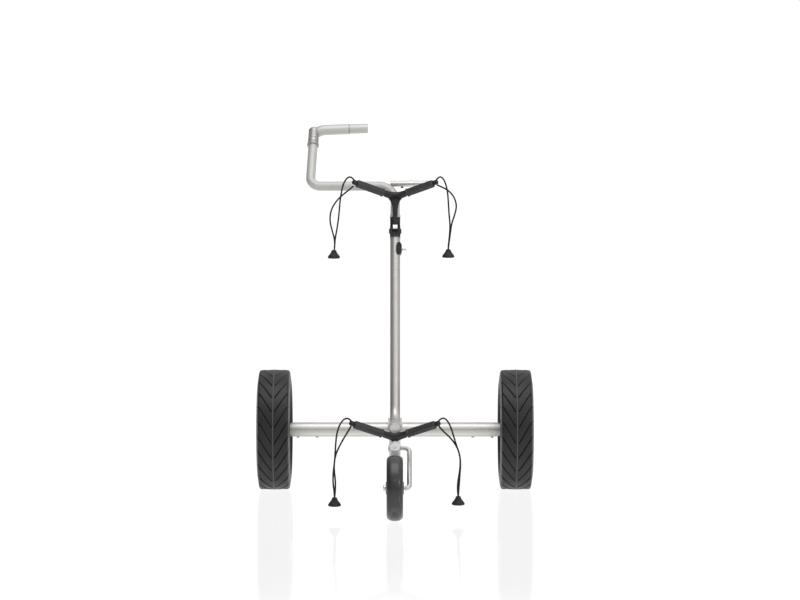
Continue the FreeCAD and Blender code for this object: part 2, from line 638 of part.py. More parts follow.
def handle():
    base = on_main(hinge_along + knuckle_rise)
    level = (cross_z - base.z) / up_main.z
    corner = base + up_main * level
    turn = corner + X * cross_x
    sway = math.radians(riser_lean)
    riser_dir = unit(V(riser_shift / riser_len, math.sin(sway), math.cos(sway)))
    riser_top = turn + riser_dir * riser_len
    path = [base, corner, turn, riser_top]
    bends = [upper_bend_r, elbow_r]
    outside = sweep(path, bends, upper_r)
    parts["upper_tube"] = outside.cut(sweep(path, bends, upper_r - upper_wall))

    spare = V(0, corner.y, cross_z + accessory_rise)
    stub = rod(spare - X * 12.0, spare + X * accessory_end, accessory_r)
    stub = stub.cut(outside)
    stub = sorted(stub.Solids, key=lambda s: s.BoundBox.XMax)[-1]
    stub = stub.cut(rod(spare + X * (accessory_end - 50), spare + X * (accessory_end + 1), accessory_bore_r))
    band_base = spare + X * accessory_collar_x
    band = ring_section(band_base, band_base + X * 5.0, accessory_r + 1.2, accessory_r)
    parts["accessory_collar"] = band
    screw_base = spare + X * 17.0 - V(0, 0, accessory_r)
    screw = turned([(-4.0, 0), (-4.0, 1.6), (0.3, 1.6), (0.3, 3.4), (2.6, 3.4), (3.4, 2.2), (3.4, 0)],
                   screw_base, V(0, 0, -1))
    parts["accessory_tube"] = stub.cut(screw)
    parts["accessory_screw"] = screw

    # Swivel joint on the riser: a flared lock ring below, a grooved sleeve above
    seat = riser_top - riser_dir * sleeve_seat
    bore = upper_r + run_gap
    gap = clear_gap
    ring_base = seat - riser_dir * (ring_h + gap)
    lock = turned([(0, bore), (0, ring_flare_r), (2.5, ring_flare_r), (ring_h, sleeve_r), (ring_h, bore)],
                  ring_base, riser_dir)
    parts["lock_ring"] = lock
    outline = [(0, 0), (0, sleeve_r)]
    for groove in (9.0, 17.0, 25.0):
        outline += [(groove, sleeve_r), (groove + 0.8, sleeve_r - 1.0), (groove + 2.0, sleeve_r - 1.0),
                    (groove + 2.8, sleeve_r)]
    outline += [(sleeve_len - 6, sleeve_r), (sleeve_len - 1.5, sleeve_r - 3), (sleeve_len, sleeve_r - 7),
                (sleeve_len, 0)]
    sleeve = turned(outline, seat, riser_dir)
    sleeve = sleeve.cut(rod(seat - riser_dir, riser_top + riser_dir * gap, bore))

    # Grip: a bent core rod out of the sleeve's side, a shell tube over it, a ring and an end piece
    leave = seat + riser_dir * grip_leave + V(0, grip_back, 0)
    levels = V(grip_bend[0], leave.y, leave.z + grip_bend[1])
    end = V(grip_end[0], leave.y, leave.z + grip_end[1])
    level_dir = unit(end - levels)
    first_dir = unit(levels - leave)
    split = levels + level_dir * ((grip_split_x - levels.x) / level_dir.x)
    core = sweep([leave, levels, end - level_dir * 5.0], [grip_bend_r], grip_core_r)
    riser_hole = rod(seat - riser_dir * 20, riser_top + riser_dir * gap, bore)
    core = core.cut(riser_hole)
    parts["joint_sleeve"] = sleeve.cut(core).removeSplitter()
    parts["grip_core"] = core
    shell = sweep([leave + first_dir * 4.0, levels, split], [grip_bend_r], grip_r)
    parts["grip_sleeve"] = shell.cut(core).cut(sleeve).cut(riser_hole)
    ring_r = grip_r - 0.9
    ring = turned([(0, grip_core_r), (0, ring_r), (grip_ring_t, ring_r), (grip_ring_t, grip_core_r)],
                  split, level_dir)
    parts["grip_ring"] = ring
    cap_len = (end - split).Length - grip_ring_t
    cap = turned([(0, 0), (0, grip_end_r), (cap_len - 2.0, grip_end_r), (cap_len, grip_end_r - 1.6),
                  (cap_len, 0)], split + level_dir * grip_ring_t, level_dir)
    parts["grip_end_cap"] = cap.cut(rod(split, end - level_dir * 5.0, grip_core_r))
    return riser_dir, seat, spare + X * accessory_end


# Each elastic loop runs from the top of its bracket's tip down to a cone, round inside it, and back up to
# the underside of the tip.
loops = {
    "upper_left": [(-100, 145.8, 746.2), (-107, 143.8, 756.2), (-118, 142.8, 755.2), (-128, 142.3, 739.1),
                   (-133, 142.3, 717.1), (-136.5, 142.3, 693), (-138.5, 142.3, 664.9),
                   (-143, 142.4, 630.8), (-148.5, 142.5, 602.7), (-149.5, 142.6, 584.7),
                   (-151, 141.4, 571.6), (-151.5, 140.8, 561.1), (-151.5, 149, 561.1),
                   (-151, 148.6, 571.6), (-149.5, 147.6, 585.7), (-150, 147.6, 601.7),
                   (-156, 147.6, 622.8), (-161.5, 147.8, 645.9), (-160, 147.8, 668.9), (-150, 147.8, 690),
                   (-135, 147.8, 707), (-118, 147.3, 720.1), (-103, 146.8, 733.1)],
    "upper_right": [(100, 145.8, 746.2), (107, 143.8, 756.2), (117, 142.8, 755.2), (125, 142.3, 739.1),
                    (129.5, 142.3, 719.1), (131.5, 142.2, 693), (133, 142.3, 664.9), (136, 142.4, 636.8),
                    (134.5, 142.4, 610.7), (132, 142.4, 589.7), (131, 141.6, 574.6), (131.5, 140.8, 563.1),
                    (131.5, 149, 563.1), (131.5, 148.6, 574.6), (133, 147.6, 591.7), (136.5, 147.6, 614.8),
                    (139.5, 147.6, 639.8), (147.5, 147.8, 661.9), (152.5, 147.8, 684), (146, 147.8, 706),
                    (133, 147.8, 721.1), (117, 147.3, 730.1), (103, 146.8, 736.1)],
    "lower_left": [(-100, -401, 224.9), (-107, -402, 234), (-118, -403, 233), (-129, -403.4, 218.8),
                   (-136, -403.6, 195.6), (-138.5, -403.5, 167.3), (-140, -403.5, 137),
                   (-144, -403.4, 106.7), (-144.5, -403.4, 80.5), (-141.5, -403.3, 60.3),
                   (-141, -404.4, 45.1), (-141, -405, 33), (-141, -396.8, 33), (-141, -397.2, 45.1),
                   (-139.5, -398.2, 59.3), (-138.5, -398.4, 84.5), (-142.5, -398.4, 115.8),
                   (-139.5, -398.4, 144.1), (-130.5, -398.4, 165.3), (-119, -398.6, 186.5),
                   (-109, -399.5, 202.7), (-102, -400, 214.8)],
    "lower_right": [(100, -401, 224.9), (107, -402, 234), (118, -403, 234), (128.5, -403.4, 218.8),
                    (136, -403.6, 195.6), (143, -403.5, 171.4), (151.5, -403.5, 149.1),
                    (153, -403.5, 124.9), (150, -403.4, 101.7), (146.5, -403.3, 80.4),
                    (146.5, -403.3, 62.3), (148, -404.4, 48.1), (148, -405, 36), (148, -396.8, 36),
                    (148, -397.2, 48.1), (149.5, -398.3, 65.3), (151.5, -398.4, 96.6),
                    (154, -398.4, 127.9), (149.5, -398.4, 156.2), (138, -398.4, 177.4),
                    (123, -398.6, 193.6), (111, -399.5, 204.7), (102, -400, 215.8)],
}
cone_tops = {"upper_left": V(-151.5, 144.8, 574.1), "upper_right": V(131.5, 144.8, 576.1),
             "lower_left": V(-141, -401, 46.5), "lower_right": V(148, -401, 49.5)}


def elastic_cords():
    for name, route in loops.items():
        points = [V(*place) for place in route]
        radii = []
        for before, corner, after in zip(points, points[1:], points[2:]):
            turn = (corner - before).getAngle(after - corner)
            shorter = min((corner - before).Length, (after - corner).Length)
            radii.append(0.45 * shorter / math.tan(turn / 2.0))
        wire_len = rounded_wire(points, radii).Length
        cord = sweep(points, radii, cord_r)
        expected = math.pi * cord_r ** 2 * wire_len
        print(name, "cord length", round(wire_len, 1), "volume ratio", round(cord.Volume / expected, 4),
              "radii", [round(radius, 1) for radius in radii])
        parts[name + "_cord"] = cord

        # Cone: a hollow bell, open below, with a neck that the doubled cord passes through
        neck = cone_top_r - 1.0
        outline = [(0, neck), (0, cone_top_r - 0.6), (0.8, cone_top_r), (cone_h - 5, cone_r - 1),
                   (cone_h - 2.5, cone_r), (cone_h, cone_r - 1.5), (cone_h, cone_r - 1.5 - cone_wall),
                   (cone_h - 6, cone_r - 2 - cone_wall), (4, neck + 1.0)]
        parts[name + "_cone"] = turned(outline, cone_tops[name], V(0, 0, -1))
        cord_nodes.extend([name + "_cord", name + "_cone"])


main_frame()
axle_ends()
rear_wheels()
front_assembly()
hinge()
latch()
brackets()
riser_dir, joint_seat, accessory_mouth = handle()
elastic_cords()


def write_parts():
    solid = [shape for node, shape in parts.items() if node not in cord_nodes]
    boxes = [shape.optimalBoundingBox(False) for shape in solid]
    front = min(box.YMin for box in boxes)
    back = max(box.YMax for box in boxes)
    shift = V(0, -(front + back) / 2.0, 0)
    os.makedirs("parts", exist_ok=True)
    for node, shape in parts.items():
        moved = shape.copy()
        moved.translate(shift)
        if not moved.isValid():
            print("not valid:", node)
        moved.exportStep("parts/" + node + ".step")
    return shift


shift = write_parts()
print("nodes", len(parts))
for label, point in (("axle", axle), ("front_axle", front_axle), ("arm_pivot", arm_pivot),
                     ("hinge", hinge_pin_point), ("knob", V(0, head_front, knob_z)),
                     ("latch", on_main(latch_along)), ("joint_seat", joint_seat),
                     ("accessory", accessory_mouth), ("lower_joint", V(0, *lower_joint)),
                     ("upper_joint", on_main(hinge_along + upper_joint[1], upper_joint[0]))):
    print(label, [round(c / 1000.0, 6) for c in (point + shift)])
print("riser direction", [round(c, 6) for c in riser_dir])
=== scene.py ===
import json
import math

import bpy
import numpy as np
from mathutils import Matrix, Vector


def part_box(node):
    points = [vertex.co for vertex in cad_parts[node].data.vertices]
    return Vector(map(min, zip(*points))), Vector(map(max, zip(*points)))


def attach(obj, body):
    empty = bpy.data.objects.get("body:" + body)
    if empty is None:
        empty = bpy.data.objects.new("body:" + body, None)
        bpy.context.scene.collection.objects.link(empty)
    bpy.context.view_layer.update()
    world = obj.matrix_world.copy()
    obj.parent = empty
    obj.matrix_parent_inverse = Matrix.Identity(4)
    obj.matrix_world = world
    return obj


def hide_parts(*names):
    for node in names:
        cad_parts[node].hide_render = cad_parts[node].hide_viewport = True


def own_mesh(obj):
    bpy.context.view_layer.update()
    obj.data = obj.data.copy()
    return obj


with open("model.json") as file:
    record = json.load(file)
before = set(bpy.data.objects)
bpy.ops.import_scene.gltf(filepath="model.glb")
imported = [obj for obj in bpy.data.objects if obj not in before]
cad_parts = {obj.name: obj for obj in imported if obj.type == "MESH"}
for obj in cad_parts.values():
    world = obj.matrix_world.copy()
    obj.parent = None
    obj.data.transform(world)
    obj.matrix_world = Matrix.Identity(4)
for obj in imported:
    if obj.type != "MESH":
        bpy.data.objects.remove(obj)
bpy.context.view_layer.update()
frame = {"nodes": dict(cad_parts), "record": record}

nodes = frame["nodes"]


# ---- Where it stands ----
# A white sweep of floor that mirrors the wheels faintly, a big white ceiling, a dark flag on the left and
# a long lens well in front of the trolley, at about shoulder height.

axle_low, axle_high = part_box("axle_tube")
axle_y = (axle_low[1] + axle_high[1]) / 2
camera_away = 8.5          # in front of the rear axle
camera_side = 0.012
camera_height = 1.4137
camera_dip = 6.36          # degrees below the horizon
floor_half = 20.0
floor_strength = 1.27
floor_share = 0.3          # how much of the floor's look is its mirror

lens = bpy.data.cameras.new("long_lens")
lens.lens = 157.95
lens.sensor_width = 36.0
lens.clip_end = 60.0
camera = bpy.data.objects.new("long_lens", lens)
camera.location = (camera_side, axle_y - camera_away, camera_height)
camera.rotation_euler = (math.radians(90.0 - camera_dip), 0.0, 0.0)
bpy.context.scene.collection.objects.link(camera)
bpy.context.scene.camera = camera
bpy.context.scene.view_settings.view_transform = "Standard"

floor_finish = bpy.data.materials.new("white_sweep")
floor_finish.use_nodes = True
floor_kit = floor_finish.node_tree.nodes
floor_kit.clear()
floor_out = floor_kit.new("ShaderNodeOutputMaterial")
floor_glow = floor_kit.new("ShaderNodeEmission")
floor_glow.inputs["Color"].default_value = (1.0, 1.0, 1.0, 1.0)
floor_glow.inputs["Strength"].default_value = floor_strength
floor_mirror = floor_kit.new("ShaderNodeBsdfGlossy")
floor_mirror.inputs["Color"].default_value = (1.0, 1.0, 1.0, 1.0)
floor_mirror.inputs["Roughness"].default_value = 0.09
floor_mix = floor_kit.new("ShaderNodeMixShader")
floor_mix.inputs["Fac"].default_value = floor_share
floor_links = floor_finish.node_tree.links
floor_links.new(floor_glow.outputs[0], floor_mix.inputs[1])
floor_links.new(floor_mirror.outputs[0], floor_mix.inputs[2])
floor_links.new(floor_mix.outputs[0], floor_out.inputs["Surface"])
floor_mesh = bpy.data.meshes.new("floor")
floor_mesh.from_pydata([(-floor_half, -floor_half, 0), (floor_half, -floor_half, 0),
                        (floor_half, floor_half, 0), (-floor_half, floor_half, 0)], [], [(0, 1, 2, 3)])
floor_mesh.materials.append(floor_finish)
floor = bpy.data.objects.new("floor", floor_mesh)
bpy.context.scene.collection.objects.link(floor)

world = bpy.data.worlds.new("studio")
bpy.context.scene.world = world
world.use_nodes = True
sky = world.node_tree.nodes
sky.clear()
sky_links = world.node_tree.links
sky_out = sky.new("ShaderNodeOutputWorld")
sky_light = sky.new("ShaderNodeBackground")
sky_place = sky.new("ShaderNodeTexCoord")
sky_split = sky.new("ShaderNodeSeparateXYZ")
sky_links.new(sky_place.outputs["Generated"], sky_split.inputs[0])


def sky_ramp(channel, stops):
    """Grey level of the surroundings along one axis of the view direction: (direction, grey) stops."""
    span = sky.new("ShaderNodeMapRange")
    span.inputs["From Min"].default_value = -1.0
    sky_links.new(sky_split.outputs[channel], span.inputs["Value"])
    ramp = sky.new("ShaderNodeValToRGB")
    ramp.color_ramp.elements.remove(ramp.color_ramp.elements[1])
    for number, (direction, grey) in enumerate(stops):
        place = (direction + 1.0) / 2.0
        stop = ramp.color_ramp.elements[0] if number == 0 else ramp.color_ramp.elements.new(place)
        stop.position = place
        stop.color = (grey, grey, grey, 1.0)
    sky_links.new(span.outputs["Result"], ramp.inputs["Fac"])
    return ramp.outputs["Color"]


height_grey = sky_ramp("Z", [(-0.3, 0.85), (0.0, 0.62), (0.3, 0.66), (0.6, 1.0)])
side_grey = sky_ramp("X", [(-0.85, 0.32), (-0.55, 0.50), (-0.2, 0.85), (0.3, 0.95), (0.8, 0.95)])
sky_both = sky.new("ShaderNodeMix")
sky_both.data_type = "RGBA"
sky_both.blend_type = "MULTIPLY"
sky_both.inputs["Factor"].default_value = 1.0
sky_links.new(height_grey, sky_both.inputs["A"])
sky_links.new(side_grey, sky_both.inputs["B"])
sky_path = sky.new("ShaderNodeLightPath")
sky_pick = sky.new("ShaderNodeMix")
sky_pick.data_type = "RGBA"
sky_pick.inputs["B"].default_value = (1.0, 1.0, 1.0, 1.0)
sky_links.new(sky_path.outputs["Is Camera Ray"], sky_pick.inputs["Factor"])
sky_links.new(sky_both.outputs["Result"], sky_pick.inputs["A"])
sky_links.new(sky_pick.outputs["Result"], sky_light.inputs["Color"])
sky_links.new(sky_light.outputs[0], sky_out.inputs[0])


def soft_lamp(name, place, aim, size, power):
    """A square lamp at place, facing aim."""
    lamp = bpy.data.lights.new(name, "AREA")
    lamp.size = size
    lamp.energy = power
    holder = bpy.data.objects.new(name, lamp)
    away = np.array(place) - np.array(aim)
    holder.location = place
    holder.rotation_euler = (math.atan2(math.hypot(away[0], away[1]), away[2]), 0.0,
                             math.atan2(away[0], -away[1]))
    bpy.context.scene.collection.objects.link(holder)


soft_lamp("overhead", (0.0, -0.6, 3.2), (0.0, 0.1, 0.3), 2.4, 36.0)
soft_lamp("right_side", (2.6, -3.0, 1.8), (0.0, 0.0, 0.4), 0.9, 16.0)
soft_lamp("centre_front", (0.3, -4.5, 3.0), (0.0, 0.0, 0.4), 0.5, 4.0)


# ---- Elastic loops and cones ----
# Each bag cradle has two loops of black 4 mm shock cord, each doubled back inside a moulded rubber cone that
# the hand pulls. The cord is braided polyester over a rubber core, and both its ends are fixed in the tip of
# an arm. A loop's points are x, y behind the rear axle and z above the floor.

cord_diameter = 0.004
neck_bore_r = 0.0047       # a cone's neck, inside and out
neck_r = 0.0056
cone_ribs_around = 20
cone_rib_height = 0.00035
loops = {
    "upper_left": [(-0.1, 0.1458, 0.7462), (-0.107, 0.1438, 0.7562), (-0.118, 0.1428, 0.7552),
                   (-0.128, 0.1423, 0.7391), (-0.133, 0.1423, 0.7171), (-0.1365, 0.1423, 0.693),
                   (-0.1385, 0.1423, 0.6649), (-0.143, 0.1424, 0.6308), (-0.1485, 0.1425, 0.6027),
                   (-0.1495, 0.1426, 0.5847), (-0.151, 0.1414, 0.5716), (-0.1515, 0.1408, 0.5611),
                   (-0.1515, 0.149, 0.5611), (-0.151, 0.1486, 0.5716), (-0.1495, 0.1476, 0.5857),
                   (-0.15, 0.1476, 0.6017), (-0.156, 0.1476, 0.6228), (-0.1615, 0.1478, 0.6459),
                   (-0.16, 0.1478, 0.6689), (-0.15, 0.1478, 0.69), (-0.135, 0.1478, 0.707),
                   (-0.118, 0.1473, 0.7201), (-0.103, 0.1468, 0.7331)],
    "upper_right": [(0.1, 0.1458, 0.7462), (0.107, 0.1438, 0.7562), (0.117, 0.1428, 0.7552),
                    (0.125, 0.1423, 0.7391), (0.1295, 0.1423, 0.7191), (0.1315, 0.1422, 0.693),
                    (0.133, 0.1423, 0.6649), (0.136, 0.1424, 0.6368), (0.1345, 0.1424, 0.6107),
                    (0.132, 0.1424, 0.5897), (0.131, 0.1416, 0.5746), (0.1315, 0.1408, 0.5631),
                    (0.1315, 0.149, 0.5631), (0.1315, 0.1486, 0.5746), (0.133, 0.1476, 0.5917),
                    (0.1365, 0.1476, 0.6148), (0.1395, 0.1476, 0.6398), (0.1475, 0.1478, 0.6619),
                    (0.1525, 0.1478, 0.684), (0.146, 0.1478, 0.706), (0.133, 0.1478, 0.7211),
                    (0.117, 0.1473, 0.7301), (0.103, 0.1468, 0.7361)],
    "lower_left": [(-0.1, -0.401, 0.2249), (-0.107, -0.402, 0.234), (-0.118, -0.403, 0.233),
                   (-0.129, -0.4034, 0.2188), (-0.136, -0.4036, 0.1956), (-0.1385, -0.4035, 0.1673),
                   (-0.14, -0.4035, 0.137), (-0.144, -0.4034, 0.1067), (-0.1445, -0.4034, 0.0805),
                   (-0.1415, -0.4033, 0.0603), (-0.141, -0.4044, 0.0451), (-0.141, -0.405, 0.033),
                   (-0.141, -0.3968, 0.033), (-0.141, -0.3972, 0.0451), (-0.1395, -0.3982, 0.0593),
                   (-0.1385, -0.3984, 0.0845), (-0.1425, -0.3984, 0.1158), (-0.1395, -0.3984, 0.1441),
                   (-0.1305, -0.3984, 0.1653), (-0.119, -0.3986, 0.1865), (-0.109, -0.3995, 0.2027),
                   (-0.102, -0.4, 0.2148)],
    "lower_right": [(0.1, -0.401, 0.2249), (0.107, -0.402, 0.234), (0.118, -0.403, 0.234),
                    (0.1285, -0.4034, 0.2188), (0.136, -0.4036, 0.1956), (0.143, -0.4035, 0.1714),
                    (0.1515, -0.4035, 0.1491), (0.153, -0.4035, 0.1249), (0.15, -0.4034, 0.1017),
                    (0.1465, -0.4033, 0.0804), (0.1465, -0.4033, 0.0623), (0.148, -0.4044, 0.0481),
                    (0.148, -0.405, 0.036), (0.148, -0.3968, 0.036), (0.148, -0.3972, 0.0481),
                    (0.1495, -0.3983, 0.0653), (0.1515, -0.3984, 0.0966), (0.154, -0.3984, 0.1279),
                    (0.1495, -0.3984, 0.1562), (0.138, -0.3984, 0.1774), (0.123, -0.3986, 0.1936),
                    (0.111, -0.3995, 0.2047), (0.102, -0.4, 0.2158)],
}


def grained(name, color, roughness, metallic, grain, depth, tint=0.25, rough_swing=0.12,
            specular=0.5, coat=0.0):
    """Material whose colour, roughness and surface height all follow one fine noise of the given grain, in
    cells per metre of the piece."""
    material = bpy.data.materials.new(name)
    material.use_nodes = True
    kit = material.node_tree.nodes
    links = material.node_tree.links
    kit.clear()
    out = kit.new("ShaderNodeOutputMaterial")
    shader = kit.new("ShaderNodeBsdfPrincipled")
    links.new(shader.outputs["BSDF"], out.inputs["Surface"])
    shader.inputs["Metallic"].default_value = metallic
    shader.inputs["Specular IOR Level"].default_value = specular
    shader.inputs["Coat Weight"].default_value = coat
    shader.inputs["Coat Roughness"].default_value = 0.12
    place = kit.new("ShaderNodeTexCoord")
    noise = kit.new("ShaderNodeTexNoise")
    noise.inputs["Scale"].default_value = grain
    noise.inputs["Detail"].default_value = 4.0
    links.new(place.outputs["Object"], noise.inputs["Vector"])
    shade = kit.new("ShaderNodeValToRGB")
    dark, light = shade.color_ramp.elements
    dark.position = 0.3
    dark.color = (*[level * (1.0 - tint) for level in color], 1.0)
    light.position = 0.7
    light.color = (*[min(1.0, level * (1.0 + tint)) for level in color], 1.0)
    links.new(noise.outputs["Fac"], shade.inputs["Fac"])
    links.new(shade.outputs["Color"], shader.inputs["Base Color"])
    span = kit.new("ShaderNodeMapRange")
    span.inputs["To Min"].default_value = max(0.03, roughness - rough_swing)
    span.inputs["To Max"].default_value = min(1.0, roughness + rough_swing)
    links.new(noise.outputs["Fac"], span.inputs["Value"])
    links.new(span.outputs["Result"], shader.inputs["Roughness"])
    bump = kit.new("ShaderNodeBump")
    bump.inputs["Strength"].default_value = 0.6
    bump.inputs["Distance"].default_value = depth
    links.new(noise.outputs["Fac"], bump.inputs["Height"])
    links.new(bump.outputs["Normal"], shader.inputs["Normal"])
    return material


def box_middle(node):
    """Centre of a CAD node's box."""
    low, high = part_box(node)
    return np.array([(a + b) / 2 for a, b in zip(low, high)])


def skin_piece(name, grids, material, body, ring=False, replaced=(), sharp=35.0):
    """One piece made of closed skins, one over each grid of points. points[i, j] joins its neighbours along
    i and j, and j runs round. In a ring the last row joins the first; in a bar each end row is fanned to a
    point in its middle, so that the bar's ends are shut."""
    corners = []
    faces = []
    base = 0
    for points in grids:
        rows, cols = points.shape[:2]
        a, b = np.meshgrid(np.arange(rows if ring else rows - 1), np.arange(cols), indexing="ij")
        down = (a + 1) % rows
        over = (b + 1) % cols
        quads = np.stack([a * cols + b, down * cols + b, down * cols + over, a * cols + over], -1)
        faces += (quads.reshape(-1, 4) + base).tolist()
        corners.append(points.reshape(-1, 3))
        if not ring:
            around = np.arange(cols)
            beside = (around + 1) % cols
            first = rows * cols
            last = first - cols
            start = np.stack([np.full(cols, first), around, beside], -1)
            end = np.stack([np.full(cols, first + 1), last + beside, last + around], -1)
            faces += (start + base).tolist() + (end + base).tolist()
            corners.append([points[0].mean(0), points[-1].mean(0)])
        base = sum(len(group) for group in corners)
    mesh = bpy.data.meshes.new(name)
    mesh.from_pydata(np.vstack(corners).tolist(), [], faces)
    mesh.materials.append(material)
    mesh.polygons.foreach_set("use_smooth", np.ones(len(mesh.polygons), bool))
    mesh.set_sharp_from_angle(angle=math.radians(sharp))
    face_out(mesh)
    piece = bpy.data.objects.new(name, mesh)
    bpy.context.scene.collection.objects.link(piece)
    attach(piece, body)
    if replaced:
        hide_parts(*replaced)
    return piece


def face_out(mesh):
    """Turns a closed skin's faces outward: its volume, the sum over its triangles of a corner dotted with
    the cross product of the other two, must come out above nought."""
    mesh.calc_loop_triangles()
    corners = np.empty(len(mesh.vertices) * 3)
    mesh.vertices.foreach_get("co", corners)
    corners = corners.reshape(-1, 3)
    threes = np.empty(len(mesh.loop_triangles) * 3, int)
    mesh.loop_triangles.foreach_get("vertices", threes)
    a, b, c = corners[threes.reshape(-1, 3)].transpose(1, 0, 2)
    if np.einsum("ij,ij->", a, np.cross(b, c)) < 0:
        mesh.flip_normals()


def rounded_outline(corners, radii, steps=5):
    """Open outline with each inner corner rounded: a quadratic arc from a point radius before the corner
    to a point radius after it. The two end points stay."""
    corners = np.array(corners, float)
    pieces = [corners[:1]]
    t = np.linspace(0.0, 1.0, steps)[:, None]
    for before, corner, after, radius in zip(corners, corners[1:], corners[2:], radii):
        to_before, to_after = before - corner, after - corner
        radius = min(radius, 0.48 * np.linalg.norm(to_before), 0.48 * np.linalg.norm(to_after))
        start = corner + to_before / np.linalg.norm(to_before) * radius
        end = corner + to_after / np.linalg.norm(to_after) * radius
        pieces.append((1 - t) ** 2 * start + 2 * t * (1 - t) * corner + t ** 2 * end)
    pieces.append(corners[-1:])
    return np.vstack(pieces)


def axes_from(axis):
    """Three unit vectors: the axis and two across it."""
    axis = np.array(axis, float) / np.linalg.norm(axis)
    side = np.array([0.0, 0.0, 1.0]) if abs(axis[2]) < 0.9 else np.array([1.0, 0.0, 0.0])
    across = np.cross(side, axis)
    across /= np.linalg.norm(across)
    return axis, across, np.cross(axis, across)


def spun(outline, base, axis, around=64, swell=None):
    """Points of an outline of (distance along, radius) turned about an axis. swell(angle, along) adds to
    the radius."""
    axis, across, up = axes_from(axis)
    angle = np.linspace(0.0, 2 * np.pi, around, endpoint=False)[None, :]
    along = outline[:, 0][:, None]
    radius = outline[:, 1][:, None] + np.zeros_like(angle)
    if swell is not None:
        radius = radius + swell(angle, along)
    return (np.array(base) + along[..., None] * axis
            + (radius * np.cos(angle))[..., None] * across + (radius * np.sin(angle))[..., None] * up)


def cone_ribs(height):
    """Swell of a cone of that height: shallow ribs that fade out towards the neck and the rim."""
    def swell(angle, along):
        fade = np.clip(along / height, 0, 1) * np.clip((height - along) / height, 0, 1) * 4
        return cone_rib_height * fade * np.cos(cone_ribs_around * angle)
    return swell


cord_finish = grained("braided_elastic", (0.010, 0.010, 0.011), 0.7, 0.0, 900.0, 0.0004, tint=0.5,
                      specular=0.25)
cone_finish = grained("cone_rubber", (0.014, 0.014, 0.015), 0.5, 0.0, 600.0, 0.0001, specular=0.3)

for name, route in loops.items():
    node = name + "_cord"
    curve = bpy.data.curves.new(node, "CURVE")
    curve.dimensions = "3D"
    spline = curve.splines.new("NURBS")
    spline.points.add(len(route) - 1)
    for point, place in zip(spline.points, route):
        point.co = (place[0], place[1] + axle_y, place[2], 1.0)
    spline.order_u = 3
    spline.use_endpoint_u = True
    spline.resolution_u = 10
    curve.bevel_depth = cord_diameter / 2
    curve.bevel_resolution = 4
    curve.use_fill_caps = True
    curve.materials.append(cord_finish)
    cord = bpy.data.objects.new(name + "_loop", curve)
    bpy.context.scene.collection.objects.link(cord)
    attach(cord, "frame")
    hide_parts(node)

    low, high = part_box(name + "_cone")
    height = high[2] - low[2]
    wide = (high[0] - low[0]) / 2
    top = (*box_middle(name + "_cone")[:2], high[2])
    outside = rounded_outline([(0.0, neck_bore_r), (0.0, neck_r), (0.30 * height, 0.0072),
                               (0.72 * height, wide - 0.0015), (0.90 * height, wide), (height, wide - 0.0012),
                               (height, wide - 0.0036), (0.7 * height, wide - 0.0052), (0.2 * height, 0.0058),
                               (0.04 * height, neck_bore_r)],
                              [0.0006, 0.003, 0.004, 0.002, 0.001, 0.001, 0.004, 0.003], 6)
    skin = spun(outside, top, (0, 0, -1), 120, cone_ribs(height))
    cone = skin_piece(name + "_pull_cone", [skin], cone_finish, "frame", ring=True,
                      replaced=(name + "_cone",))


# ---- Satin metal tubes ----
# Main tube and cross axle tube are drawn titanium-grey alloy, glass-bead blasted to a fine satin; the S-bent
# upper tube is blasted matter. The saddle behind the bend is brazed to both lower tubes.


def dress(material, *names):
    """Gives CAD nodes one material."""
    for node in names:
        nodes[node].data.materials.clear()
        nodes[node].data.materials.append(material)


satin = grained("satin_metal", (0.53, 0.517, 0.50), 0.42, 1.0, 700.0, 0.00003, tint=0.05, rough_swing=0.06)
dress(satin, "main_tube", "axle_tube", "axle_saddle", "axle_bushes")
matt_satin = grained("matt_satin", (0.57, 0.56, 0.545), 0.70, 1.0, 700.0, 0.00003, tint=0.04,
                     rough_swing=0.04)
dress(matt_satin, "upper_tube")
bright = grained("polished_steel", (0.62, 0.62, 0.62), 0.2, 1.0, 500.0, 0.00002, tint=0.04, rough_swing=0.05)
dress(bright, "left_stub_axle", "right_stub_axle", "axle_screws")


# ---- Grip ----
# A hand-sized shell of extruded alloy, drawn over a bent core rod and blasted finer than the tubes. Fine
# lengthwise ribs run along the end piece, which is turned from bar and pressed on against a thin ring.

grip_finish = grained("grip_satin", (0.56, 0.55, 0.535), 0.62, 1.0, 800.0, 0.00003, tint=0.03,
                      rough_swing=0.04)
dress(grip_finish, "grip_sleeve", "hinge_collar")
dress(satin, "grip_core")
# Painted shade: the thin grip ring is coloured dark grey metal to stand for the shadow line in the joint at
# the end piece.
ring_painted_shade = grained("ring_shadow", (0.20, 0.20, 0.20), 0.4, 1.0, 500.0, 0.00002)
dress(ring_painted_shade, "grip_ring")


def turned_line(corners, radii, steps=5):
    """Rounded outline of a bar turned from solid, less its two corners on the axis, where skin_piece shuts
    the ends."""
    return rounded_outline(corners, radii, steps)[1:-1]


end_r = 0.012
end_skin = 0.0001          # how far the visible end piece lies inside the CAD one
ribs_around = 36
rib_depth = 0.00022
cap_low, cap_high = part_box("grip_end_cap")
cap_start = np.array((cap_low[0] + 2 * end_skin, (cap_low[1] + cap_high[1]) / 2,
                      cap_low[2] + end_r + end_skin))
cap_end = np.array((cap_high[0] - 2 * end_skin, cap_start[1], cap_high[2] - end_r - end_skin))
cap_len = float(np.linalg.norm(cap_end - cap_start))
cap_outline = turned_line([(0.0, 0.0), (0.0, end_r - end_skin), (cap_len, end_r - end_skin), (cap_len, 0.0)],
                          [0.0006, 0.0014])


def fine_ribs(angle, along):
    """Shallow lengthwise ribs that fade at both ends."""
    fade = np.clip(along / 0.002, 0, 1) * np.clip((cap_len - along) / 0.003, 0, 1)
    return -rib_depth * fade * (0.5 - 0.5 * np.cos(ribs_around * angle))


cap_points = spun(cap_outline, cap_start, cap_end - cap_start, 288, fine_ribs)
skin_piece("ribbed_grip_end", [cap_points], grip_finish, "hand_grip",
           replaced=("grip_end_cap",))


